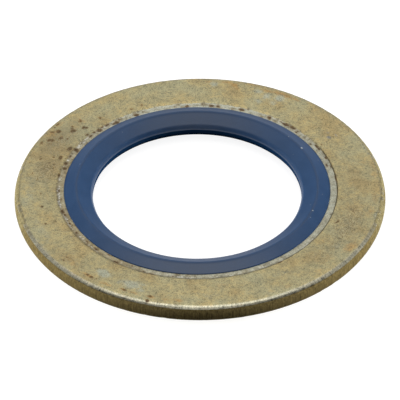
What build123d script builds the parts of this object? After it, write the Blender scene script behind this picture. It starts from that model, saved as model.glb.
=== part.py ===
from build123d import *
import os
from math import cos, radians, sin

# Drain plug gasket: a flat steel washer with a rubber sealing ring moulded into its bore.
# Millimetres. The origin is on the axis of the rubber ring's bore, halfway through the washer,
# and +Z is along that axis. The gasket is the same on both sides of the XY plane.

# Steel washer, which shows this much bare steel between the rubber and the rim
steel_width = 4.52
washer_thickness = 1.6
# The washer's outline sits a little to one side of its punched bore.
outline_offset = 0.25
# The punch rolled the rim's edges over, and the wall between them is crowned.
rim_roll_radius = 0.55
rim_roll_angle = 56
# The bore edges are bevelled, which gives the rubber something to grip.
bore_bevel = 0.12
# The mould pressed a shallow flat land into each face, round the rubber.
land_width = 0.6
land_depth = 0.08

# Rubber sealing ring
ring_bore_diameter = 18.0
inner_slope_width = 1.37
outer_slope_width = 1.11
bore_wall_height = 0.5
bore_edge_bevel = 0.2
# The lip stands proud of the steel face on both sides.
lip_height = 0.36
lip_round = 0.3

# Places that both pieces share
face_z = washer_thickness / 2
land_z = face_z - land_depth
bevel_z = land_z - bore_bevel
ring_bore_radius = ring_bore_diameter / 2
lip_radius = ring_bore_radius + inner_slope_width
rubber_edge_radius = lip_radius + outer_slope_width
seat_radius = rubber_edge_radius - bore_bevel
outside_radius = rubber_edge_radius + steel_width

os.makedirs("parts", exist_ok=True)


def both_sides(upper_points):
    """The corners of a section above the XY plane, then the same corners below it."""
    lower_points = [(x, -z) for x, z in reversed(upper_points)]
    return upper_points + lower_points


# Steel washer: the punched blank, turned about the outline's own axis
# The crown of the rim is an arc that carries on smoothly from the roll at each edge.
roll_rise = cos(radians(rim_roll_angle))
roll_reach = sin(radians(rim_roll_angle))
crown_radius = (face_z - rim_roll_radius * (1 - roll_rise)) / roll_rise
crown_start = outside_radius - crown_radius * (1 - roll_reach)
roll_start = crown_start - rim_roll_radius * roll_reach
outline_plane = Plane.XZ.shift_origin((outline_offset, 0, 0))
outline_axis = Axis((outline_offset, 0, 0), (0, 0, 1))

with BuildPart() as steel_washer:
    with BuildSketch(outline_plane):
        with BuildLine():
            upper_roll = JernArc((roll_start, face_z), (1, 0), rim_roll_radius, -rim_roll_angle)
            lower_roll = JernArc((roll_start, -face_z), (1, 0), rim_roll_radius, rim_roll_angle)
            ThreePointArc(upper_roll @ 1, (outside_radius, 0), lower_roll @ 1)
            Polyline(upper_roll @ 0, (0, face_z), (0, -face_z), lower_roll @ 0)
        make_face()
    revolve(axis=outline_axis)

    # The bore with its bevels, and the land in each face
    land_radius = rubber_edge_radius + land_width
    with BuildSketch(Plane.XZ):
        with BuildLine():
            bore_corners = [
                (0, face_z),
                (land_radius, face_z),
                (land_radius, land_z),
                (rubber_edge_radius, land_z),
                (seat_radius, bevel_z),
            ]
            Polyline(*both_sides(bore_corners), close=True)
        make_face()
    revolve(axis=Axis.Z, mode=Mode.SUBTRACT)

# Rubber sealing ring: outside it fills the washer's bore, inside it slopes from lip to bore wall
bore_edge_z = bore_wall_height / 2 + bore_edge_bevel
lip_z = face_z + lip_height

with BuildPart() as rubber_ring:
    with BuildSketch(Plane.XZ) as ring_section:
        with BuildLine():
            ring_corners = [
                (ring_bore_radius, bore_edge_z),
                (lip_radius, lip_z),
                (rubber_edge_radius, land_z),
                (seat_radius, bevel_z),
            ]
            Polyline(*both_sides(ring_corners), close=True)
        make_face()
        lip_corners = ring_section.vertices().filter_by_position(Axis.X, lip_radius, lip_radius)
        fillet(lip_corners, radius=lip_round)
        bore_edges = ring_section.vertices().group_by(Axis.X)[0]
        chamfer(bore_edges, length=bore_edge_bevel)
    revolve(axis=Axis.Z)

steel_washer.part.label = "steel_washer"
rubber_ring.part.label = "rubber_ring"

export_step(steel_washer.part, "parts/steel_washer.step")
export_step(rubber_ring.part, "parts/rubber_ring.step")
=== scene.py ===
import math

import bpy
import numpy as np
from mathutils import Matrix, Vector


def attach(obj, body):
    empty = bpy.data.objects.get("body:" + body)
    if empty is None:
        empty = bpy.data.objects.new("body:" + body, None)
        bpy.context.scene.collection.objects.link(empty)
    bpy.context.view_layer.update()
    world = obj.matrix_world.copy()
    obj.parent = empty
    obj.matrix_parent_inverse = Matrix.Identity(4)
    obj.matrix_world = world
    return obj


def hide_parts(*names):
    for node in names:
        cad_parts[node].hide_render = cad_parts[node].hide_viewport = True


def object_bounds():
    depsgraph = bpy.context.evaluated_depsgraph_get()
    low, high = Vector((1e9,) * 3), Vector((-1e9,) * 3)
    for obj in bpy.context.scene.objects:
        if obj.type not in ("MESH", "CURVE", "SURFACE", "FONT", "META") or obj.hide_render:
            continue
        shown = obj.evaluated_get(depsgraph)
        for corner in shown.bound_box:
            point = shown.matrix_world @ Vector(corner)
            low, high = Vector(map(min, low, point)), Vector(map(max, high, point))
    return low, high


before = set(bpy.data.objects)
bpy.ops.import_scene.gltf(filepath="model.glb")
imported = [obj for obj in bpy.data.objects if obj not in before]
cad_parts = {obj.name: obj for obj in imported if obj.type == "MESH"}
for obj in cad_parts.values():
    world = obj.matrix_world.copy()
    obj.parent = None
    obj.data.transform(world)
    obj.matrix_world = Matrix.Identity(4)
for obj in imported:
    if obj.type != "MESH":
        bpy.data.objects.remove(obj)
cadLow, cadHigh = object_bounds()
mm = 0.001  # every length below is in millimetres and is turned into metres with this
print("frame loaded:", sorted(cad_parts))


class Number:  # one value socket; arithmetic on it adds Math nodes
    def __init__(self, shader, socket):
        self.shader = shader
        self.socket = socket

    def maths(self, operation, first, second=0.0):
        return self.shader.number("ShaderNodeMath", {"operation": operation}, {0: first, 1: second})

    def __add__(self, other):
        return self.maths("ADD", self, other)

    def __radd__(self, other):
        return self.maths("ADD", other, self)

    def __sub__(self, other):
        return self.maths("SUBTRACT", self, other)

    def __rsub__(self, other):
        return self.maths("SUBTRACT", other, self)

    def __mul__(self, other):
        return self.maths("MULTIPLY", self, other)

    def __rmul__(self, other):
        return self.maths("MULTIPLY", other, self)

    def __abs__(self):
        return self.maths("ABSOLUTE", self)

    def atLeast(self, other):
        return self.maths("MAXIMUM", self, other)

    def clamped(self, low=0.0, high=1.0):
        return self.maths("MINIMUM", self.atLeast(low), high)

    def rise(self, low, high):  # 0 below low, 1 above high, a smooth step between them
        ends = {"Value": self, "From Min": low, "From Max": high, "To Min": 0.0, "To Max": 1.0}
        return self.shader.number("ShaderNodeMapRange", {"interpolation_type": "SMOOTHSTEP"}, ends)

    def within(self, low, lowEnd, highStart, high):  # up between the first two, down between the last
        return self.rise(low, lowEnd) * (1 - self.rise(highStart, high))


class Shader:  # one node tree, with the few ways of adding to it that the finishes use
    def __init__(self, tree):
        self.tree = tree
        self.tree.nodes.clear()

    def node(self, kind, settings=None, inputs=None):
        made = self.tree.nodes.new(kind)
        for name, value in (settings or {}).items():
            setattr(made, name, value)
        for name, value in (inputs or {}).items():
            if isinstance(value, Number):
                value = value.socket
            if isinstance(value, bpy.types.NodeSocket):
                self.tree.links.new(value, made.inputs[name])
            else:
                made.inputs[name].default_value = value
        return made

    def number(self, kind, settings, inputs, output=0):
        return Number(self, self.node(kind, settings, inputs).outputs[output])

    def attribute(self, name):
        found = self.node("ShaderNodeAttribute", {"attribute_name": name})
        return Number(self, found.outputs["Fac"])

    def length(self, vector):
        return self.number("ShaderNodeVectorMath", {"operation": "LENGTH"}, {0: vector}, "Value")

    def noise(self, place, scale, detail=2.0, roughness=0.5):
        values = {"Vector": place, "Scale": scale, "Detail": detail, "Roughness": roughness}
        return self.number("ShaderNodeTexNoise", {}, values, "Fac")

    def streaks(self, place, turn, across, along):  # noise drawn out along a line at this angle
        c, s = math.cos(math.radians(turn)), math.sin(math.radians(turn))
        lengths = []
        for way in ((c * along, s * along, 0.0), (-s * across, c * across, 0.0)):
            lengths.append(self.number("ShaderNodeVectorMath", {"operation": "DOT_PRODUCT"},
                                       {0: place, 1: way}, "Value"))
        drawn = self.node("ShaderNodeCombineXYZ", {}, {0: lengths[0], 1: lengths[1]})
        return self.noise(drawn.outputs[0], 1.0, 1.0, 0.5)

    def mixed(self, amount, start, end):  # colour start where amount is 0, end where it is 1
        made = self.node("ShaderNodeMix", {"data_type": "RGBA"}, {0: amount, 6: start, 7: end})
        return made.outputs[2]

    def layered(self, base, layers):  # each layer is an amount and the colour that it brings
        for amount, tint in layers:
            base = self.mixed(amount, base, tint)
        return base

    def scaled(self, vector, amount):
        made = self.node("ShaderNodeVectorMath", {"operation": "SCALE"}, {0: vector, "Scale": amount})
        return made.outputs[0]

    def times(self, first, second):
        made = self.node("ShaderNodeVectorMath", {"operation": "MULTIPLY"}, {0: first, 1: second})
        return made.outputs[0]

    def either(self, amount, start, end):  # shader start where amount is 0, end where it is 1
        return self.node("ShaderNodeMixShader", {}, {0: amount, 1: start, 2: end}).outputs[0]

    def diffuse(self, grey):
        return self.node("ShaderNodeBsdfDiffuse", {}, {"Color": colour(grey, grey, grey)}).outputs[0]

    def bumped(self, strength, distance, height):
        values = {"Strength": strength, "Distance": distance * mm, "Height": height}
        return self.node("ShaderNodeBump", {}, values).outputs[0]

    def surface(self, values):
        return self.node("ShaderNodeBsdfPrincipled", {}, values).outputs[0]

    def end(self, surface, output="ShaderNodeOutputMaterial"):
        self.node(output, {}, {"Surface": surface})


def newMaterial(name):
    material = bpy.data.materials.new(name)
    material.use_nodes = True
    return material, Shader(material.node_tree)


def colour(red, green, blue):
    return (red, green, blue, 1.0)


# camera, lamps and floor
studio = {
    "elevation": 39.07,
    "roll": 0.112,
    "distance": 320.0,
    "target": (0.25, 0.309, -0.8),
    "lens": 333.07,
    "sensor": 36.0,
    "nearestSeen": 10.0,
    "panelRadiance": 42.0,
    "panelAzimuth": 75.0,  # to each side, from straight behind the object
    "panelElevation": 4.0,
    "panelDistance": 500.0,
    "panelSize": (400.0, 120.0),
    "floorHalf": 2000.0,
    "floorGap": 0.002,
    "floorGlow": 0.88,
    "floorGrey": 0.3,
    "floorGreyUnseen": 0.01,
}

# The sky's radiance, and the values between which its parts rise, or rise and then fall: in the names
# with side, of how far a direction points left or right, and in the others, of how far it points away
# from the camera.
sky = {
    "behindRadiance": 1.15,
    "topRadiance": 1.8,
    "frontRadiance": 0.6,
    "besideRadiance": 0.5,
    "dimRadiance": 0.06,
    "bandSide": (0.24, 0.48),
    "bandFront": (-0.99, -0.93),
    "bandBehind": (0.80, 0.97),
    "bandFade": 0.6,
    "overheadSide": (0.40, 0.56),
    "overhead": (-0.45, -0.30, 0.02, 0.16),
    "besideSide": (0.44, 0.60),
    "beside": (-0.40, -0.15, 0.60, 0.72),
    "farSide": (0.62, 0.82),
    "farSideFront": (-0.05, 0.15),
    "frontToTop": (-0.45, -0.15),
    "topToBehind": (0.35, 0.65),
}


def turnedTo(away):  # the turn that makes a camera or lamp that stands this way look at the object
    return (-away).to_track_quat("-Z", "Y").to_matrix().to_4x4()


def placeCamera():
    tilt = math.radians(studio["elevation"])
    away = Vector((0.0, -math.cos(tilt), math.sin(tilt)))
    data = bpy.data.cameras.new("camera")
    data.lens = studio["lens"]
    data.sensor_width = studio["sensor"]
    data.clip_start = studio["nearestSeen"] * mm
    camera = bpy.data.objects.new("camera", data)
    bpy.context.collection.objects.link(camera)
    roll = Matrix.Rotation(-math.radians(studio["roll"]), 4, "Z")
    spot = (Vector(studio["target"]) + away * studio["distance"]) * mm
    camera.matrix_world = Matrix.Translation(spot) @ turnedTo(away) @ roll
    bpy.context.scene.camera = camera


def placePanel(name, side):  # a soft box low at one side, which metal and the camera don't see
    turn, tilt = math.radians(side * studio["panelAzimuth"]), math.radians(studio["panelElevation"])
    away = Vector((math.sin(turn) * math.cos(tilt), math.cos(turn) * math.cos(tilt), math.sin(tilt)))
    width, height = studio["panelSize"]
    data = bpy.data.lights.new(name, "AREA")
    data.shape = "RECTANGLE"
    data.size = width * mm
    data.size_y = height * mm
    data.energy = studio["panelRadiance"] * math.pi * data.size * data.size_y
    lamp = bpy.data.objects.new(name, data)
    bpy.context.collection.objects.link(lamp)
    lamp.matrix_world = Matrix.Translation(away * studio["panelDistance"] * mm) @ turnedTo(away)
    lamp.visible_camera = False
    lamp.visible_glossy = False


def paintSky():
    # a pale band runs from behind the object, over it and down in front, and is brightest and widest
    # overhead; out to each side the sky is fainter, and elsewhere it is dim
    world = bpy.data.worlds.new("studioSky")
    world.use_nodes = True
    bpy.context.scene.world = world
    shade = Shader(world.node_tree)
    direction = shade.node("ShaderNodeTexCoord").outputs["Generated"]
    parts = shade.node("ShaderNodeSeparateXYZ", {}, {0: direction})
    across = abs(Number(shade, parts.outputs["X"]))
    back = Number(shade, parts.outputs["Y"])

    fade = 1 - back.rise(*sky["bandBehind"]) * sky["bandFade"]
    band = (1 - across.rise(*sky["bandSide"])) * back.rise(*sky["bandFront"]) * fade
    band = band.atLeast((1 - across.rise(*sky["overheadSide"])) * back.within(*sky["overhead"]))
    beside = across.rise(*sky["besideSide"]) * back.within(*sky["beside"])
    beside = beside.atLeast(across.rise(*sky["farSide"]) * back.rise(*sky["farSideFront"]))

    light = {}
    for part in ("dim", "top", "behind", "beside", "front"):
        values = {"Color": colour(1, 1, 1), "Strength": sky[part + "Radiance"]}
        light[part] = shade.node("ShaderNodeBackground", {}, values).outputs[0]
    near = shade.either(back.rise(*sky["frontToTop"]), light["front"], light["top"])
    pale = shade.either(back.rise(*sky["topToBehind"]), near, light["behind"])
    rest = shade.either(beside, light["dim"], light["beside"])
    shade.end(shade.either(band, rest, pale), "ShaderNodeOutputWorld")


def placeFloor():
    # white to the camera and in reflections, with a little paint there that takes the shadow, and
    # nearly black to all other light, so that it doesn't light the object from below
    half = studio["floorHalf"] * mm
    low = cadLow.z - studio["floorGap"] * mm
    corners = [(-half, -half, low), (half, -half, low), (half, half, low), (-half, half, low)]
    mesh = bpy.data.meshes.new("floor")
    mesh.from_pydata(corners, [], [(0, 1, 2, 3)])
    floor = bpy.data.objects.new("floor", mesh)
    bpy.context.collection.objects.link(floor)
    material, shade = newMaterial("palePaper")
    path = shade.node("ShaderNodeLightPath")
    seen = Number(shade, path.outputs["Is Camera Ray"])
    for ray in ("Is Glossy Ray", "Is Transmission Ray"):
        seen = seen.atLeast(Number(shade, path.outputs[ray]))
    white = {"Color": colour(1, 1, 1), "Strength": studio["floorGlow"]}
    glow = shade.node("ShaderNodeEmission", {}, white).outputs[0]
    paint = shade.diffuse(studio["floorGrey"])
    paper = shade.node("ShaderNodeAddShader", {}, {0: paint, 1: glow}).outputs[0]
    shade.end(shade.either(seen, shade.diffuse(studio["floorGreyUnseen"]), paper))
    mesh.materials.append(material)


placeCamera()
paintSky()
placePanel("leftPanel", -1)
placePanel("rightPanel", 1)
placeFloor()
print("studio placed")


def section(corners, counts):
    # a closed section: counts[i] even steps from corner i to the next, and the last run closes it
    ends = corners[1:] + corners[:1]
    runs = []
    for start, end, count in zip(corners, ends, counts):
        share = np.arange(count)[:, None] / count
        runs.append(np.array(start) + share * (np.array(end) - np.array(start)))
    return np.concatenate(runs)


def ringMesh(name, x, y, z):
    # a closed skin over a grid whose rows run round the ring and whose columns run round its section
    rounds, around = x.shape
    mesh = bpy.data.meshes.new(name)
    points = np.stack([x, y, z], axis=-1).reshape(-1, 3) * mm
    row, column = np.meshgrid(np.arange(rounds), np.arange(around), indexing="ij")
    nextRow, nextColumn = (row + 1) % rounds, (column + 1) % around
    quads = np.stack([
        row * around + column,
        nextRow * around + column,
        nextRow * around + nextColumn,
        row * around + nextColumn,
    ], axis=-1).reshape(-1, 4)
    mesh.from_pydata(points.tolist(), [], quads.tolist())
    mesh.shade_smooth()
    made = bpy.data.objects.new(name, mesh)
    bpy.context.collection.objects.link(made)
    return made


def storeField(piece, name, values):
    held = piece.data.attributes.new(name, "FLOAT", "POINT")
    held.data.foreach_set("value", np.ascontiguousarray(values, dtype=np.float32).ravel())


def turnFrom(angle, degrees):  # the shortest turn from a place on the ring, in radians
    return (angle - math.radians(degrees) + np.pi) % (2 * np.pi) - np.pi


def ripple(angle, seed, slow, fast):
    # a seeded wave round the ring: the sum of cosines with whole numbers of turns, from slow to fast,
    # over the root of half their number
    draw = np.random.default_rng(seed)
    turns = np.unique(draw.integers(slow, fast, 40))
    phase = draw.uniform(0, 2 * np.pi, len(turns))
    waves = np.cos(angle[..., None] * turns + phase)
    return waves.sum(axis=-1) / math.sqrt(len(turns) / 2)


def marksField(angle, radius, marks, sharp=False):
    # the strongest of some oval marks: each is its strength times a cone (sharp) or a bell (not sharp)
    # of the distance from its centre, measured along the ring and across it in its own two sizes
    field = np.zeros(angle.shape)
    for turn, distance, along, across, strength in marks:
        far = np.hypot(turnFrom(angle, turn) * distance / along, (radius - distance) / across)
        shape = np.clip(1 - far, 0, 1) if sharp else np.exp(-far ** 2)
        field = np.maximum(field, strength * shape)
    return field


def roundTheRing(angle, turns):
    # values given at some angles, joined by straight runs all the way round
    at = np.array([turn for turn, value in turns] + [360.0])
    values = np.array([value for turn, value in turns] + [turns[0][1]])
    return np.interp(np.degrees(angle) % 360, at, values)


# the steel washer: lengths, and the colours of its plating and wear
washer = {
    "outside": 15.994,
    "offset": 0.25,
    "face": 0.8,
    "land": 0.72,
    "landOutside": 12.08,
    "landBand": 0.28,  # to each side of the land's outer edge, where its step may spread
    "stepHalf": 0.05,
    "stepSpread": 0.20,
    "rubberEdge": 11.48,
    "seat": 11.36,
    "bevel": 0.12,
    "rollRadius": 0.55,
    "rollAngle": 56.0,
    "rollPoints": 8,
    "crownPoints": 9,
    "cornerHalf": 0.09,
    "cornerWave": 0.011,
    "dentRadius": 16.0,
    "dentSpread": 0.35,
    "dentDepth": 0.05,
    "wallBand": 0.3,
    "wallLines": 0.004,
    "rustDepth": 0.012,
    "rustStart": 0.3,
    "faceBand": 0.7,
    "hiddenFrom": 12.0,  # the marks of the unseen side lie between these radii
    "hiddenTo": 15.8,
    "rounds": 980,
    # where the finish changes: radii from the bore's or the outline's axis, then heights
    "landFade": (12.03, 12.09),
    "landLineAt": (12.01, 12.06, 12.09, 12.15),
    "rollFade": (15.44, 15.64),
    # painted shade on the rim: the rolled edge and wall are darkened everywhere but at the near side
    "rimShadeFade": (15.3, 15.45),
    "rimFade": (15.6, 15.75),
    "wallTop": (0.54, 0.575),
    # painted shade: a thin dark line in the corner between rolled edge and wall
    "cornerShadeAt": (0.53, 0.55, 0.57, 0.60),
    # the height up to which the painted shade on the rim reaches
    "rimShadeTop": (0.74, 0.796),
    # patterns: how many to a millimetre, detail, roughness
    "fleckNoise": (11.0, 1.0, 0.5),
    "grainNoise": (4.6, 3.0, 0.65),
    "mottleNoise": (1.8, 3.0, 0.6),
    "cloudNoise": (0.45, 2.0, 0.5),
    "hatchTurns": 90.0,
    "uprightPerMm": (9.0, 9.0, 0.35),
    "streakAngles": (61.0, 137.0),
    "streakPerMm": (7.0, 0.9),
    "metallic": 0.74,
    "roughness": 0.38,
    "bumpStrength": 0.6,
    "platingBump": 0.012,
    "wallBump": 0.02,
    "wallRoughness": 0.7,
    "wallSpecular": 0.04,
    "yellow": colour(0.397, 0.354, 0.194),
    "brass": colour(0.412, 0.328, 0.151),
    "paleCloud": colour(0.369, 0.356, 0.218),
    "brownCloud": colour(0.365, 0.268, 0.115),
    "grime": colour(0.205, 0.160, 0.085),
    "stain": colour(0.375, 0.220, 0.070),
    "worn": colour(0.410, 0.425, 0.325),
    "smudge": colour(0.235, 0.245, 0.235),
    "dullLand": colour(0.310, 0.250, 0.135),
    "silverLand": colour(0.410, 0.420, 0.340),
    "brownLand": colour(0.20, 0.150, 0.075),
    "landLine": colour(0.11, 0.080, 0.045),
    "roll": colour(0.620, 0.605, 0.480),
    "brightChip": colour(0.66, 0.67, 0.60),
    "darkChip": colour(0.13, 0.10, 0.06),
    "rustHalo": colour(0.22, 0.12, 0.035),
    "rustCore": colour(0.085, 0.050, 0.020),
    "pit": colour(0.13, 0.095, 0.045),
    "glint": colour(0.58, 0.53, 0.38),
    "brightScratch": colour(0.62, 0.60, 0.47),
    "darkScratch": colour(0.09, 0.07, 0.04),
    # the colour of the painted shade in the corner between rolled edge and wall
    "paintedCornerShade": colour(0.06, 0.055, 0.03),
    "lightWall": colour(0.165, 0.127, 0.052),
    "darkWall": colour(0.145, 0.108, 0.040),
    # the colour of the painted shade on the rim
    "paintedRimShade": colour(0.20, 0.170, 0.085),
}

# marks on the upper face: angle from the right towards the back, distance from the outline's centre,
# half length along the ring, half width across it, strength
rustMarks = [
    (160.8, 12.85, 0.24, 0.17, 1.0), (162.0, 12.78, 0.16, 0.07, 0.6), (161.3, 13.42, 0.12, 0.11, 0.8),
    (163.7, 14.40, 0.16, 0.08, 0.7), (165.5, 13.10, 0.11, 0.10, 0.75), (168.0, 13.05, 0.13, 0.10, 0.7),
    (165.0, 13.55, 0.09, 0.09, 0.65), (163.3, 12.15, 0.20, 0.15, 0.9), (166.7, 12.05, 0.18, 0.20, 0.9),
    (171.5, 12.34, 0.20, 0.10, 0.95), (172.8, 12.60, 0.08, 0.08, 0.7), (167.8, 12.37, 0.13, 0.06, 0.7),
    (154.3, 12.62, 0.30, 0.19, 1.0), (153.5, 12.10, 0.20, 0.20, 0.9), (154.2, 11.90, 0.16, 0.14, 0.8),
    (158.3, 12.14, 0.20, 0.10, 0.8), (152.7, 14.50, 0.20, 0.18, 0.85), (153.2, 14.78, 0.22, 0.14, 0.75),
    (155.0, 14.55, 0.12, 0.09, 0.6), (155.5, 15.20, 0.28, 0.14, 0.6), (150.2, 14.02, 0.20, 0.18, 0.9),
    (148.8, 15.10, 0.14, 0.20, 0.6), (147.5, 14.70, 0.25, 0.20, 1.0), (149.2, 13.48, 0.34, 0.07, 0.7),
    (144.2, 13.70, 0.24, 0.22, 1.0), (143.5, 13.96, 0.16, 0.13, 0.75), (142.6, 14.10, 0.14, 0.15, 0.65),
    (140.3, 13.27, 0.20, 0.14, 1.0), (139.7, 13.06, 0.14, 0.12, 0.9), (138.2, 14.10, 0.22, 0.24, 0.55),
    (131.7, 13.20, 0.19, 0.17, 0.6), (142.8, 12.40, 0.20, 0.14, 0.65), (137.2, 12.03, 0.26, 0.20, 0.9),
    (142.5, 12.06, 0.24, 0.09, 0.75), (139.9, 12.16, 0.14, 0.13, 0.75), (132.5, 12.07, 0.26, 0.16, 0.7),
    (135.0, 12.16, 0.18, 0.09, 0.6), (128.3, 11.80, 0.22, 0.18, 1.0), (129.8, 11.84, 0.18, 0.13, 0.85),
    (126.2, 12.08, 0.09, 0.14, 0.6), (118.3, 11.74, 0.20, 0.19, 0.95), (118.5, 12.65, 0.20, 0.17, 0.5),
    (113.8, 12.75, 0.20, 0.13, 0.4), (95.5, 11.65, 0.20, 0.20, 0.85), (144.4, 15.36, 0.26, 0.12, 0.75),
    (146.3, 15.32, 0.14, 0.09, 0.65), (84.8, 11.70, 0.24, 0.18, 0.85), (82.2, 11.70, 0.15, 0.17, 0.75),
    (71.5, 11.70, 0.28, 0.18, 0.95), (69.0, 11.88, 0.10, 0.09, 0.5), (58.2, 11.64, 0.20, 0.20, 0.95),
    (52.0, 11.74, 0.28, 0.08, 0.6), (49.8, 11.70, 0.32, 0.17, 1.0), (46.0, 11.77, 0.28, 0.13, 0.85),
    (43.0, 11.72, 0.14, 0.09, 0.75), (42.8, 11.52, 0.15, 0.10, 0.85), (32.5, 11.48, 0.12, 0.09, 0.85),
    (30.0, 11.73, 0.24, 0.09, 0.95), (28.0, 11.73, 0.22, 0.09, 0.85), (21.2, 11.74, 0.20, 0.09, 0.85),
    (16.2, 11.45, 0.20, 0.09, 0.85), (14.8, 11.75, 0.20, 0.07, 0.85), (6.8, 11.81, 0.36, 0.06, 0.9),
    (2.2, 11.50, 0.08, 0.05, 0.7), (29.5, 12.20, 0.14, 0.08, 0.5), (181.3, 12.14, 0.15, 0.08, 0.95),
    (194.8, 12.15, 0.36, 0.13, 0.85), (197.0, 12.08, 0.20, 0.10, 0.7), (203.0, 12.06, 0.16, 0.08, 0.8),
    (187.0, 12.00, 0.22, 0.08, 0.6), (190.5, 13.75, 0.14, 0.12, 0.9), (200.2, 14.00, 0.12, 0.10, 0.85),
    (222.7, 11.95, 0.24, 0.11, 0.85), (216.5, 11.94, 0.20, 0.08, 0.7), (209.5, 12.05, 0.16, 0.09, 0.6),
    (234.2, 12.12, 0.24, 0.09, 0.95), (250.2, 12.10, 0.28, 0.08, 0.8), (246.8, 12.00, 0.15, 0.08, 0.6),
    (259.0, 11.92, 0.13, 0.08, 0.75), (241.0, 11.82, 0.14, 0.08, 0.6), (229.0, 11.75, 0.18, 0.07, 0.6),
    (232.5, 14.95, 0.17, 0.13, 0.85), (230.8, 14.90, 0.13, 0.11, 0.85), (234.3, 14.90, 0.10, 0.09, 0.6),
    (245.0, 14.92, 0.20, 0.11, 0.7), (253.8, 14.95, 0.20, 0.14, 0.65), (253.5, 15.52, 0.15, 0.14, 0.95),
    (304.0, 12.03, 0.20, 0.07, 1.0), (338.7, 12.60, 0.20, 0.08, 0.95), (337.7, 12.50, 0.13, 0.06, 0.8),
    (346.3, 13.50, 0.15, 0.06, 0.85), (342.5, 11.72, 0.15, 0.05, 0.7), (276.0, 11.75, 0.08, 0.06, 0.6),
    (220.0, 15.00, 0.18, 0.09, 0.65), (219.5, 14.55, 0.22, 0.11, 0.45), (172.0, 14.65, 0.14, 0.07, 0.55),
    (166.5, 15.20, 0.12, 0.08, 0.55), (183.0, 13.70, 0.12, 0.08, 0.5), (175.0, 14.05, 0.14, 0.07, 0.5),
]
stainMarks = [
    (60.5, 15.10, 1.30, 0.30, 1.0), (66.0, 15.00, 0.80, 0.24, 0.8), (55.5, 15.10, 0.80, 0.26, 0.7),
    (78.0, 14.92, 0.42, 0.30, 1.0), (76.8, 14.50, 0.28, 0.45, 0.6), (81.0, 15.20, 0.80, 0.20, 0.7),
    (87.0, 15.12, 0.60, 0.26, 0.6), (70.0, 15.35, 3.00, 0.20, 0.6), (45.0, 15.35, 2.40, 0.22, 0.5),
    (34.0, 15.30, 0.60, 0.12, 0.6), (8.0, 15.20, 1.50, 0.35, 0.5), (14.0, 14.60, 0.80, 0.40, 0.4),
    (355.0, 15.10, 1.20, 0.50, 0.55), (347.0, 14.9, 1.0, 0.45, 0.5), (328.0, 15.00, 1.30, 0.55, 0.7),
    (318.0, 14.30, 0.90, 0.50, 0.5), (312.0, 14.9, 1.0, 0.4, 0.4), (299.0, 15.00, 0.90, 0.35, 0.45),
    (293.0, 14.9, 0.8, 0.3, 0.35), (278.0, 13.20, 1.10, 0.60, 0.5), (286.0, 13.5, 0.6, 0.5, 0.3),
    (263.0, 15.00, 0.60, 0.30, 0.7), (259.0, 15.05, 0.60, 0.22, 0.6), (254.0, 15.00, 0.50, 0.25, 0.8),
    (248.0, 14.98, 0.60, 0.20, 0.7), (244.5, 14.90, 0.40, 0.20, 0.9), (238.0, 15.00, 0.80, 0.22, 0.6),
    (231.0, 14.95, 0.60, 0.22, 0.8), (222.0, 14.50, 1.30, 0.60, 0.5), (215.0, 14.2, 1.2, 0.6, 0.3),
    (197.0, 13.4, 1.6, 0.5, 0.35), (184.0, 13.2, 1.3, 0.4, 0.4), (166.0, 12.8, 1.6, 0.4, 0.4),
    (150.0, 15.0, 1.8, 0.5, 0.5), (143.0, 15.2, 1.4, 0.3, 0.4), (140.0, 13.8, 1.6, 0.6, 0.35),
    (128.0, 13.4, 1.8, 0.8, 0.25), (103.0, 13.8, 0.5, 0.6, 0.35), (92.0, 12.9, 0.8, 0.5, 0.35),
    (231.0, 11.9, 2.4, 0.3, 0.5), (205.0, 11.9, 2.4, 0.3, 0.5), (325.0, 12.6, 1.2, 0.3, 0.2),
]
wornMarks = [
    (60.5, 14.50, 0.70, 0.55, 0.9), (65.5, 14.20, 0.55, 0.65, 0.8), (69.0, 14.60, 0.55, 0.50, 0.7),
    (85.2, 14.80, 0.50, 0.45, 0.8), (61.5, 13.60, 0.50, 0.50, 0.7), (67.0, 13.30, 0.55, 0.50, 0.6),
    (86.0, 13.7, 0.9, 0.6, 0.3), (234.5, 13.95, 0.72, 0.50, 1.2), (246.0, 14.05, 1.00, 0.55, 1.0),
    (250.0, 14.50, 0.60, 0.28, 0.7), (249.5, 13.75, 0.70, 0.30, 0.6), (241.5, 14.2, 0.3, 0.4, 0.5),
    (272.0, 14.2, 1.4, 0.6, 0.4), (300.0, 13.4, 1.6, 0.7, 0.35), (318.0, 13.3, 1.2, 0.6, 0.4),
    (325.5, 14.0, 0.5, 0.4, 0.5), (183.0, 14.8, 3.6, 1.0, 0.42), (203.0, 14.6, 3.0, 0.9, 0.38),
    (173.0, 13.7, 0.6, 0.35, 0.5),
    (210.0, 15.4, 2.4, 0.25, 0.5), (20.0, 15.35, 2.0, 0.25, 0.4), (346.0, 15.5, 0.7, 0.3, 0.5),
]
smudgeMarks = [
    (31.8, 13.30, 0.26, 0.20, 1.0), (34.3, 13.60, 0.24, 0.20, 0.6), (31.5, 14.00, 0.28, 0.12, 0.75),
    (35.8, 13.82, 0.10, 0.16, 0.6), (27.0, 13.8, 0.2, 0.1, 0.4),
]
pitMarks = [
    (186.0, 13.8, 6.0, 1.8, 0.3), (170.0, 13.6, 3.0, 1.7, 1.0), (153.0, 13.6, 3.4, 1.5, 0.9),
    (338.0, 13.6, 4.6, 1.6, 1.0), (352.0, 13.4, 2.2, 1.4, 0.7), (322.0, 13.4, 3.2, 1.4, 0.8),
    (8.0, 13.4, 4.0, 1.6, 0.6), (220.0, 14.6, 4.0, 1.2, 0.6), (300.0, 13.6, 4.0, 1.4, 0.5),
    (240.0, 13.6, 4.0, 1.6, 0.4), (142.0, 12.4, 3.0, 0.6, 0.6),
]
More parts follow.
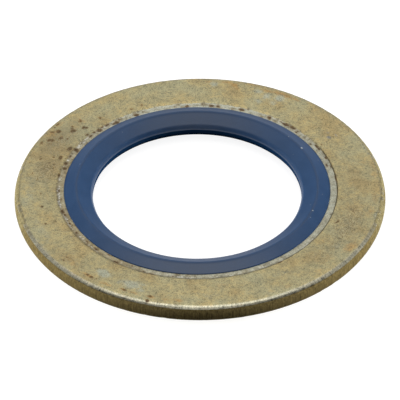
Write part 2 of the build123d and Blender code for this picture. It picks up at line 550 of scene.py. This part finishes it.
grimeMarks = [
    (152.0, 14.2, 3.6, 1.4, 0.9), (140.0, 14.6, 2.4, 0.8, 0.7), (163.0, 12.8, 2.2, 0.7, 0.6),
    (132.0, 13.0, 2.6, 0.8, 0.4), (75.0, 15.2, 4.0, 0.4, 0.4), (335.0, 14.4, 3.0, 0.7, 0.5),
    (322.0, 15.2, 3.0, 0.5, 0.4), (218.0, 14.8, 2.2, 0.6, 0.4),
]
scratchMarks = [
    (346.5, 14.20, 0.36, 0.07, -0.9), (345.6, 14.02, 0.24, 0.05, -0.8), (349.0, 14.62, 0.34, 0.06, -0.8),
    (340.5, 14.62, 0.90, 0.05, -0.8), (340.0, 13.95, 0.80, 0.05, -0.7), (336.5, 14.58, 0.5, 0.05, -0.6),
    (330.0, 13.65, 0.05, 0.45, -0.8), (330.3, 14.5, 0.05, 0.4, -0.5), (327.5, 13.3, 0.05, 0.3, -0.5),
    (211.3, 12.78, 0.07, 0.26, 1.0), (217.0, 13.6, 0.05, 0.5, 0.5), (265.0, 13.60, 0.05, 0.45, -0.5),
    (263.0, 13.3, 0.05, 0.4, -0.5), (262.0, 14.2, 0.05, 0.3, -0.4), (3.5, 13.35, 0.30, 0.05, -0.7),
    (2.5, 12.78, 0.40, 0.04, -0.6), (18.5, 12.9, 0.5, 0.05, 0.5), (322.0, 13.0, 0.6, 0.05, -0.5),
    (228.5, 14.5, 0.05, 0.5, -0.5), (257.0, 13.0, 0.05, 0.4, -0.4), (252.0, 13.2, 0.04, 0.4, -0.4),
    (289.3, 13.5, 0.08, 0.16, -0.5), (305.0, 13.2, 0.06, 0.3, -0.3), (10.5, 12.2, 0.1, 0.1, 0.7),
    (174.0, 12.2, 0.3, 0.06, 0.6), (225.0, 13.1, 0.05, 0.5, -0.35), (220.5, 13.4, 0.05, 0.5, -0.35),
]
chipMarks = [
    (181.0, 12.20, 0.8, 0.22, 1.0), (184.5, 12.18, 0.7, 0.20, 1.0), (189.0, 12.22, 0.9, 0.18, 1.0),
    (199.0, 12.14, 0.9, 0.20, 0.9), (204.0, 12.16, 0.9, 0.18, 0.8), (213.0, 12.06, 1.0, 0.22, 0.8),
    (221.0, 12.06, 1.2, 0.22, 0.7), (174.0, 12.2, 1.0, 0.3, 0.7), (160.0, 12.1, 1.8, 0.28, 0.7),
    (148.0, 12.1, 1.6, 0.30, 0.8), (135.0, 12.0, 1.6, 0.3, 0.7), (262.0, 11.9, 1.8, 0.26, 0.8),
    (280.0, 11.85, 2.6, 0.26, 0.6), (300.0, 11.8, 2.6, 0.26, 0.7), (322.0, 11.75, 2.4, 0.2, 0.6),
    (240.0, 11.9, 2.0, 0.26, 0.5), (50.0, 11.6, 3.6, 0.25, 0.5),
]
# angle and amount, joined by straight runs: how silvery the land is, how crisp its outer edge is,
# and how strongly painted shade darkens the rim
silverTurns = [(0, 0.9), (30, 0.8), (60, 0.8), (95, 1.0), (125, 0.9), (145, 0.5), (160, 0.25), (175, 0.2),
               (190, 0.3), (205, 0.15), (235, 0.2), (250, 0.6), (275, 0.75), (330, 0.8)]
crispTurns = [(0, 1.0), (22, 0.9), (34, 0.2), (95, 0.0), (150, 0.15), (180, 0.3), (260, 0.25), (300, 0.5),
              (318, 0.9), (345, 1.0)]
# painted shade on the rim, by angle: none from 207 to 333 degrees, the near side
rimShadeTurns = [(0, 1.0), (25, 1.0), (60, 0.9), (90, 1.0), (120, 0.9), (150, 1.0), (180, 1.0), (193, 0.8),
                (207, 0.0), (333, 0.0), (345, 0.8)]
# dents in the rim's corner: angle, length, depth
notchMarks = [(253.0, 0.5, 0.9), (259.0, 0.8, 0.8), (316.0, 0.5, 0.9), (311.0, 0.7, 0.6), (246.0, 0.4, 0.6)]

# seeded marks for the side that the photograph doesn't show: seed, count, half length, half width,
# strength
hiddenMarks = {
    "rust": (21, 70, 0.22, 0.16, 1.0),
    "stain": (22, 34, 1.4, 0.5, 0.8),
    "worn": (23, 22, 1.3, 0.5, 0.9),
    "smudge": (24, 5, 0.2, 0.2, 0.8),
    "pits": (25, 9, 4.0, 1.4, 0.9),
    "chips": (26, 4, 0.8, 0.3, 0.5),
}
shownMarks = {
    "rust": rustMarks, "stain": stainMarks, "worn": wornMarks, "smudge": smudgeMarks,
    "pits": pitMarks, "chips": chipMarks,
}


def scatterMarks(seed, count, along, across, strength):
    # marks at random angles and radii, up to 40% larger or smaller, and from half to full strength
    draw = np.random.default_rng(seed)
    turn = draw.uniform(0, 360, count)
    width = washer["hiddenTo"] - washer["hiddenFrom"]
    distance = washer["hiddenFrom"] + width * draw.uniform(0, 1, count)
    size = draw.uniform(0.6, 1.4, count)
    power = draw.uniform(0.5, 1.0, count) * strength
    return list(zip(turn, distance, along * size, across * size, power))


def washerSection():
    # the section's points, clockwise from the seat: land, face, rolled edge as an arc, crowned wall as
    # a larger arc that carries on from it, and the same below; then where the roll starts and ends
    w = washer
    reach = math.radians(w["rollAngle"])
    crown = (w["face"] - w["rollRadius"] * (1 - math.cos(reach))) / math.cos(reach)
    crownAt = np.linspace(reach, np.pi - reach, w["crownPoints"])
    crownR = w["outside"] - crown * (1 - np.sin(crownAt))
    crownZ = crown * np.cos(crownAt)
    rollStart = crownR[0] - w["rollRadius"] * math.sin(reach)
    rollAt = np.linspace(0, reach, w["rollPoints"])[1:-1]
    rollR = rollStart + w["rollRadius"] * np.sin(rollAt)
    rollZ = w["face"] - w["rollRadius"] * (1 - np.cos(rollAt))
    upperRoll = list(zip(rollR, rollZ))
    lowerRoll = [(r, -z) for r, z in upperRoll[::-1]]
    seatZ = w["land"] - w["bevel"]
    stepStart, stepEnd = w["landOutside"] - w["landBand"], w["landOutside"] + w["landBand"]
    corners = [
        (w["seat"], -seatZ), (w["seat"], seatZ), (w["rubberEdge"], w["land"]),
        (stepStart, w["land"]), (stepEnd, w["face"]), (rollStart, w["face"]),
        *upperRoll, *zip(crownR, crownZ), *lowerRoll,
        (rollStart, -w["face"]), (stepEnd, -w["face"]),
        (stepStart, -w["land"]), (w["rubberEdge"], -w["land"]),
    ]
    curved = 2 * len(upperRoll) + len(crownAt) + 1
    counts = [1, 1, 3, 12, 34, *[1] * curved, 18, 8, 2, 1]
    return section(corners, counts), rollStart, crownZ[0]


def washerFields(turned, fromOutline, upper):
    # how strong each kind of mark is at each point: the shown marks above, the seeded ones below
    fields = {}
    for name, shown in shownMarks.items():
        above = marksField(turned, fromOutline, shown)
        below = marksField(turned, fromOutline, scatterMarks(*hiddenMarks[name]))
        fields[name] = np.where(upper, above, below)
    bright = [mark for mark in scratchMarks if mark[4] > 0]
    dark = [(*mark[:4], -mark[4]) for mark in scratchMarks if mark[4] < 0]
    scratch = marksField(turned, fromOutline, bright, True) - marksField(turned, fromOutline, dark, True)
    fields["scratch"] = np.where(upper, scratch, 0)
    fields["grime"] = marksField(turned, fromOutline, grimeMarks) * upper
    fields["silver"] = roundTheRing(turned, silverTurns)
    fields["crisp"] = roundTheRing(turned, crispTurns)
    # painted shade on the rim, made patchy along the ring
    patchy = np.clip(0.85 + 0.30 * ripple(turned, seed=31, slow=12, fast=160), 0.2, 1.3)
    fields["paintedRimShade"] = roundTheRing(turned, rimShadeTurns) * patchy
    return fields


def buildWasher():
    # the skin of a turned ring: x = slide + r cos(angle), y = r sin(angle), where r and z run round the
    # section, and slide goes from the bore's axis to the outline's axis across the face
    w = washer
    points, rollStart, wallTop = washerSection()
    r, z = points[None, :, 0], points[None, :, 1]
    angle = np.linspace(0, 2 * np.pi, w["rounds"], endpoint=False)[:, None]
    slide = w["offset"] * np.clip((r - w["landOutside"]) / (rollStart - w["landOutside"]), 0, 1)

    # tumbling left the corner between roll and wall a little uneven, with a few dents in it
    corner = np.exp(-((np.abs(z) - wallTop) / w["cornerHalf"]) ** 2) * (r > rollStart)
    wave = np.clip(0.5 + 0.25 * ripple(angle, seed=3, slow=60, fast=420), 0, 1.2)
    dents = np.zeros(angle.shape)
    for turn, length, depth in notchMarks:
        along = turnFrom(angle, turn) * w["dentRadius"] / (w["dentSpread"] * length)
        dents = np.maximum(dents, depth * np.exp(-along ** 2))
    inward = corner * (w["cornerWave"] * wave + w["dentDepth"] * dents)
    # the sheared wall has fine upright lines
    wall = (np.abs(z) < wallTop) & (r > w["outside"] - w["wallBand"])
    lines = (1 + 0.5 * ripple(angle, seed=8, slow=200, fast=480)).clip(0, 2)
    inward = inward + wall * w["wallLines"] * lines

    # the step at the land's edge is a smooth step in height, crisp in places and drawn out in others
    half = w["stepHalf"] + w["stepSpread"] * (1 - roundTheRing(angle, crispTurns))
    climb = np.clip((r - w["landOutside"] + half) / (2 * half), 0, 1)
    step = w["land"] + (w["face"] - w["land"]) * climb * climb * (3 - 2 * climb)
    z = np.where(np.abs(r - w["landOutside"]) < w["landBand"] + 0.01, np.sign(z) * step, z)

    flatX = slide + r * np.cos(angle)
    flatY = r * np.sin(angle)
    fromOutline = np.hypot(flatX - w["offset"], flatY)
    turned = np.arctan2(flatY, flatX - w["offset"])
    fields = washerFields(turned, fromOutline, np.broadcast_to(z > 0, flatX.shape))

    # rust stands in shallow pits
    drop = w["rustDepth"] * np.clip(fields["rust"] - w["rustStart"], 0, 1) * (np.abs(z) > w["faceBand"])
    x = slide + (r - inward) * np.cos(angle)
    y = (r - inward) * np.sin(angle)
    piece = ringMesh("steelWasher", x, y, z - np.sign(z) * drop)
    for name, values in fields.items():
        storeField(piece, name, values)
    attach(piece, "root")
    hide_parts("steel_washer")
    return piece


def paintWasher(piece):
    w = washer
    material, shade = newMaterial("wornPlating")
    place = shade.node("ShaderNodeTexCoord").outputs["Object"]
    inMm = shade.scaled(place, 1 / mm)
    parts = shade.node("ShaderNodeSeparateXYZ", {}, {0: inMm})
    height = abs(Number(shade, parts.outputs["Z"]))
    flat = shade.times(inMm, (1.0, 1.0, 0.0))
    fromBore = shade.length(flat)
    centred = shade.node("ShaderNodeVectorMath", {"operation": "SUBTRACT"},
                         {0: flat, 1: (w["offset"], 0.0, 0.0)}).outputs[0]
    fromCentre = shade.length(centred)
    outward = shade.node("ShaderNodeVectorMath", {"operation": "NORMALIZE"}, {0: centred}).outputs[0]

    # patterns of different sizes, from the finest up, and drawn out ones
    fleck = shade.noise(inMm, *w["fleckNoise"])
    grain = shade.noise(inMm, *w["grainNoise"])
    mottle = shade.noise(inMm, *w["mottleNoise"])
    cloud = shade.noise(inMm, *w["cloudNoise"])
    hatch = shade.noise(shade.scaled(outward, w["hatchTurns"]), 1.0, 1.0, 0.5)
    upright = shade.noise(shade.times(inMm, w["uprightPerMm"]), 1.0, 2.0, 0.65)
    first, second = (shade.streaks(inMm, angle, *w["streakPerMm"]) for angle in w["streakAngles"])
    streaks = first + second - 1.0

    # where each mark is, with an edge that the patterns make ragged
    crisp = shade.attribute("crisp")
    silver = shade.attribute("silver")
    rust = shade.attribute("rust") * 1.2 + (grain - 0.5) * 1.5 + (fleck - 0.5) * 1.1
    halo = rust.rise(0.12, 0.50)
    core = rust.rise(0.36, 0.66)
    grime = (shade.attribute("grime") * 0.75 + (grain - 0.5) * 1.6 - 0.1).rise(0.10, 0.90)
    stain = (shade.attribute("stain") * 1.1 + (mottle - 0.5) * 0.9).rise(0.20, 1.00)
    worn = (shade.attribute("worn") * 1.1 + (mottle - 0.5) * -0.9).rise(0.25, 0.95)
    smudge = (shade.attribute("smudge") + (grain - 0.5) * 0.8).rise(0.25, 0.85)
    pitZone = shade.attribute("pits")
    pits = (pitZone * 0.17 + fleck).rise(0.66, 0.74)
    glints = (pitZone * 0.20 + (1 - fleck)).rise(0.66, 0.84)
    chipZone = shade.attribute("chips")
    brightChip = (chipZone * 0.40 + grain).rise(0.74, 0.90)
    darkChip = (chipZone * 0.30 + fleck).rise(0.70, 0.84)
    scratch = shade.attribute("scratch")

    # the parts of the section: land, rolled edge, wall, painted shade in the corner between these two,
    # and painted shade on the rim
    edge = fromBore + (mottle - 0.5) * (1 - crisp) * 0.5
    land = 1 - edge.rise(*w["landFade"])
    landLine = edge.within(*w["landLineAt"]) * (crisp * 0.5 + 0.1)
    roll = fromCentre.rise(*w["rollFade"])
    rim = fromCentre.rise(*w["rimFade"])
    wall = (1 - height.rise(*w["wallTop"])) * rim
    # painted shade: a thin dark line all round in the corner between rolled edge and wall
    paintedCornerShade = height.within(*w["cornerShadeAt"]) * rim
    # painted shade on the rolled edge and wall; where it is high the rim also takes the dull wall finish
    rimShadeZone = (1 - height.rise(*w["rimShadeTop"])) * fromCentre.rise(*w["rimShadeFade"])
    paintedRimShade = (shade.attribute("paintedRimShade") * rimShadeZone * 1.1).clamped()

    bare = shade.mixed((silver + (mottle - 0.5) * 0.9).clamped(), w["dullLand"], w["silverLand"])
    bare = shade.mixed((1 - crisp) * (1 - mottle.rise(0.34, 0.52)) * 0.7, bare, w["brownLand"])
    base = shade.layered(shade.mixed(mottle.rise(0.35, 0.75), w["yellow"], w["brass"]), [
        (cloud.rise(0.50, 0.68) * 0.6, w["paleCloud"]),
        ((1 - cloud.rise(0.32, 0.50)) * 0.6, w["brownCloud"]),
        (grime * 0.6, w["grime"]),
        (stain * 0.75, w["stain"]),
        (worn * 0.85, w["worn"]),
        (smudge * 0.8, w["smudge"]),
        (land * 0.92, bare),
        (roll * 0.75, w["roll"]),
        (brightChip * 0.8, w["brightChip"]),
        (darkChip * 0.7, w["darkChip"]),
        (landLine, w["landLine"]),
        (halo * 0.65, w["rustHalo"]),
        (core * 0.85, w["rustCore"]),
        (pits * 0.85, w["pit"]),
        (glints * 0.35, w["glint"]),
        (scratch.rise(0.15, 0.7) * 0.7, w["brightScratch"]),
        ((scratch * -1.0).rise(0.15, 0.7) * 0.8, w["darkScratch"]),
        # painted shade in the corner between rolled edge and wall
        (paintedCornerShade * 0.6, w["paintedCornerShade"]),
    ])
    tone = 1.0 + (grain - 0.5) * 1.5 + (fleck - 0.5) * 2.0 + (mottle - 0.5) * 0.8
    tone = tone + streaks * 0.10 + (hatch - 0.5) * roll * 1.2
    rough = w["roughness"] + (grain - 0.5) * 0.25 + core * 0.35 + halo * 0.15 + worn * 0.06 - roll * 0.06
    metal = w["metallic"] + roll * (1 - w["metallic"]) - core * 0.6 - halo * 0.2
    relief = grain * 0.5 + fleck * 0.35 - pits * 0.8 - core * 0.5 + hatch * roll * 0.8
    plating = shade.surface({
        "Base Color": shade.scaled(base, tone.clamped(0.2, 1.8)), "Metallic": metal.clamped(),
        "Roughness": rough.clamped(),
        "Normal": shade.bumped(w["bumpStrength"], w["platingBump"], relief),
    })

    wallTone = 1 + (upright - 0.5) * 2.2 + (grain - 0.5) * 0.8
    # the wall's colour, darkened by the painted shade on the rim
    wallBase = shade.mixed(paintedRimShade, shade.mixed(mottle, w["lightWall"], w["darkWall"]), w["paintedRimShade"])
    sheared = shade.surface({
        "Base Color": shade.scaled(wallBase, wallTone), "Metallic": 0.0,
        "Roughness": w["wallRoughness"], "Specular IOR Level": w["wallSpecular"],
        "Normal": shade.bumped(w["bumpStrength"], w["wallBump"], upright),
    })
    # the dull finish covers the wall and the painted shade on the rim
    shade.end(shade.either(wall.atLeast(paintedRimShade), plating, sheared))
    piece.data.materials.append(material)


paintWasher(buildWasher())
print("steel washer made")


# the rubber sealing ring: lengths, and the colours of its rubber and dust
ring = {
    "bore": 9.0,
    "boreHalf": 0.25,
    "boreEdgeDown": 0.015,  # the bore wall's edge is eased from this far below it
    "boreEdgeUp": 0.018,
    "boreEdgeIn": 0.010,
    "boreWander": 0.006,
    "bevel": 0.2,
    "lipRadius": 10.37,
    "lipHeight": 1.16,
    "lipRound": 0.3,
    "lipPoints": 9,
    "edge": 11.48,
    "edgeHeight": 0.72,
    "seat": 11.36,
    "seatHeight": 0.60,
    "rounds": 900,
    # where the finish changes: radii, then the height up to which the bore is matt
    "slopeFade": (10.25, 10.45),
    "crestAt": (10.12, 10.30, 10.45, 10.62),
    "mattFade": (9.17, 9.21),
    "mattTop": (0.08, 0.14),
    "fineNoise": (9.0, 2.0, 0.5),
    "cloudyNoise": (0.9, 3.0, 0.6),
    "specular": 0.62,
    "roughness": 0.36,
    "mattRoughness": 0.8,
    "bumpStrength": 0.5,
    "bump": 0.008,
    "darkBlue": colour(0.0070, 0.034, 0.093),
    "lightBlue": colour(0.0094, 0.0385, 0.102),
    "powder": colour(0.25, 0.30, 0.36),
    "dust": colour(0.42, 0.45, 0.45),
}

# dust specks on the upper side, in the same terms as the washer's marks
dustMarks = [
    (30.0, 10.24, 0.16, 0.12, 1.0), (41.0, 10.27, 0.09, 0.09, 0.8), (164.0, 10.80, 0.10, 0.10, 0.9),
    (132.0, 10.16, 0.10, 0.08, 0.7), (139.5, 8.80, 0.20, 0.12, 0.9), (340.0, 10.24, 0.12, 0.12, 0.7),
    (345.0, 9.76, 0.10, 0.08, 0.8), (298.0, 9.71, 0.10, 0.10, 0.8), (354.0, 10.56, 0.08, 0.08, 0.7),
    (281.5, 10.11, 0.09, 0.09, 0.5), (30.0, 9.4, 0.08, 0.08, 0.5), (335.0, 10.4, 0.08, 0.08, 0.6),
    (326.0, 11.0, 0.08, 0.08, 0.6), (20.0, 10.9, 0.08, 0.08, 0.5), (230.0, 9.5, 0.08, 0.08, 0.4),
]


def filletPoints(before, corner, after, radius, count):
    # the points of an arc that touches both runs of a corner: it starts and ends at the tangent points
    toBefore = np.array(before) - np.array(corner)
    toAfter = np.array(after) - np.array(corner)
    toBefore, toAfter = toBefore / np.hypot(*toBefore), toAfter / np.hypot(*toAfter)
    half = math.acos(float(toBefore @ toAfter)) / 2
    middle = (toBefore + toAfter) / np.hypot(*(toBefore + toAfter)) * radius / math.sin(half)
    start = toBefore * radius / math.tan(half) - middle
    end = toAfter * radius / math.tan(half) - middle
    sweep = np.pi - 2 * half
    share = np.linspace(0, 1, count)[:, None]
    arc = (start * np.sin((1 - share) * sweep) + end * np.sin(share * sweep)) / math.sin(sweep)
    return [tuple(point) for point in np.array(corner) + middle + arc]


def buildRing():
    # the skin of a turned ring: x = r cos(angle), y = r sin(angle), where r and z run round the section:
    # bore wall, bevel, inner slope, rounded lip, outer slope, seat, and the same below
    k = ring
    edgeZ = k["boreHalf"] + k["bevel"]
    run = np.array([k["lipRadius"] - k["bore"], k["lipHeight"] - edgeZ])
    run = run / np.hypot(*run) * k["bevel"]
    edge = (k["edge"], k["edgeHeight"])
    peak = (k["lipRadius"], k["lipHeight"])
    lip = filletPoints((k["bore"], edgeZ), peak, edge, k["lipRound"], k["lipPoints"])
    upper = [
        (k["bore"], k["boreHalf"] - k["boreEdgeDown"]),
        (k["bore"] + k["boreEdgeIn"], k["boreHalf"] + k["boreEdgeUp"]),
        (k["bore"] + run[0], edgeZ + run[1]), *lip, edge, (k["seat"], k["seatHeight"]),
    ]
    lower = [(r, -z) for r, z in upper[::-1]]
    rounded = [1] * (k["lipPoints"] - 1)
    counts = [1, 3, 10, *rounded, 9, 2, 2, 2, 9, *rounded, 10, 3, 1, 4]
    points = section(upper + lower, counts)
    r, z = points[None, :, 0], points[None, :, 1]
    angle = np.linspace(0, 2 * np.pi, k["rounds"], endpoint=False)[:, None]
    # the bore's edge wanders very slightly, as a moulded edge does
    wander = (1 + 0.5 * ripple(angle, seed=5, slow=3, fast=40)).clip(0, 2)
    soft = k["boreWander"] * wander * (r < k["bore"] + 0.05)
    x = (r + soft) * np.cos(angle)
    y = (r + soft) * np.sin(angle)
    z = np.broadcast_to(z, x.shape)
    piece = ringMesh("rubberRing", x, y, z)
    turned = np.arctan2(y, x - washer["offset"])
    fromOutline = np.hypot(x - washer["offset"], y)
    storeField(piece, "dust", np.where(z > 0, marksField(turned, fromOutline, dustMarks, True), 0))
    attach(piece, "root")
    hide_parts("rubber_ring")
    return piece


def paintRing(piece):
    material, shade = newMaterial("mouldedRubber")
    place = shade.node("ShaderNodeTexCoord").outputs["Object"]
    inMm = shade.scaled(place, 1 / mm)
    parts = shade.node("ShaderNodeSeparateXYZ", {}, {0: inMm})
    height = Number(shade, parts.outputs["Z"])
    fromBore = shade.length(shade.times(inMm, (1.0, 1.0, 0.0)))
    fine = shade.noise(inMm, *ring["fineNoise"])
    cloudy = shade.noise(inMm, *ring["cloudyNoise"])
    dust = (shade.attribute("dust") + (fine - 0.5) * 0.5).rise(0.22, 0.55)
    base = shade.layered(shade.mixed(cloudy.rise(0.35, 0.70), ring["darkBlue"], ring["lightBlue"]), [
        (fine.rise(0.70, 0.80) * 0.12, ring["powder"]),
        (dust * 0.8, ring["dust"]),
    ])
    base = shade.scaled(base, 1 + (fine - 0.5) * 0.22)
    slope = 1 - fromBore.rise(*ring["slopeFade"])
    crest = fromBore.within(*ring["crestAt"])
    rough = ring["roughness"] + slope * 0.10 + crest * 0.22 + (cloudy - 0.5) * 0.12 + dust * 0.3
    satin = shade.surface({
        "Base Color": base, "Metallic": 0.0, "Roughness": rough.clamped(),
        "Specular IOR Level": ring["specular"],
        "Normal": shade.bumped(ring["bumpStrength"], ring["bump"], fine * 0.6 + cloudy * 1.5 + dust),
    })
    matt = shade.surface({
        "Base Color": base, "Metallic": 0.0, "Roughness": ring["mattRoughness"],
        "Specular IOR Level": 0.0,
    })
    inside = (1 - fromBore.rise(*ring["mattFade"])) * (1 - height.rise(*ring["mattTop"]))
    shade.end(shade.either(inside, satin, matt))
    piece.data.materials.append(material)


paintRing(buildRing())
print("rubber ring made")

bpy.context.scene.view_settings.view_transform = "Standard"
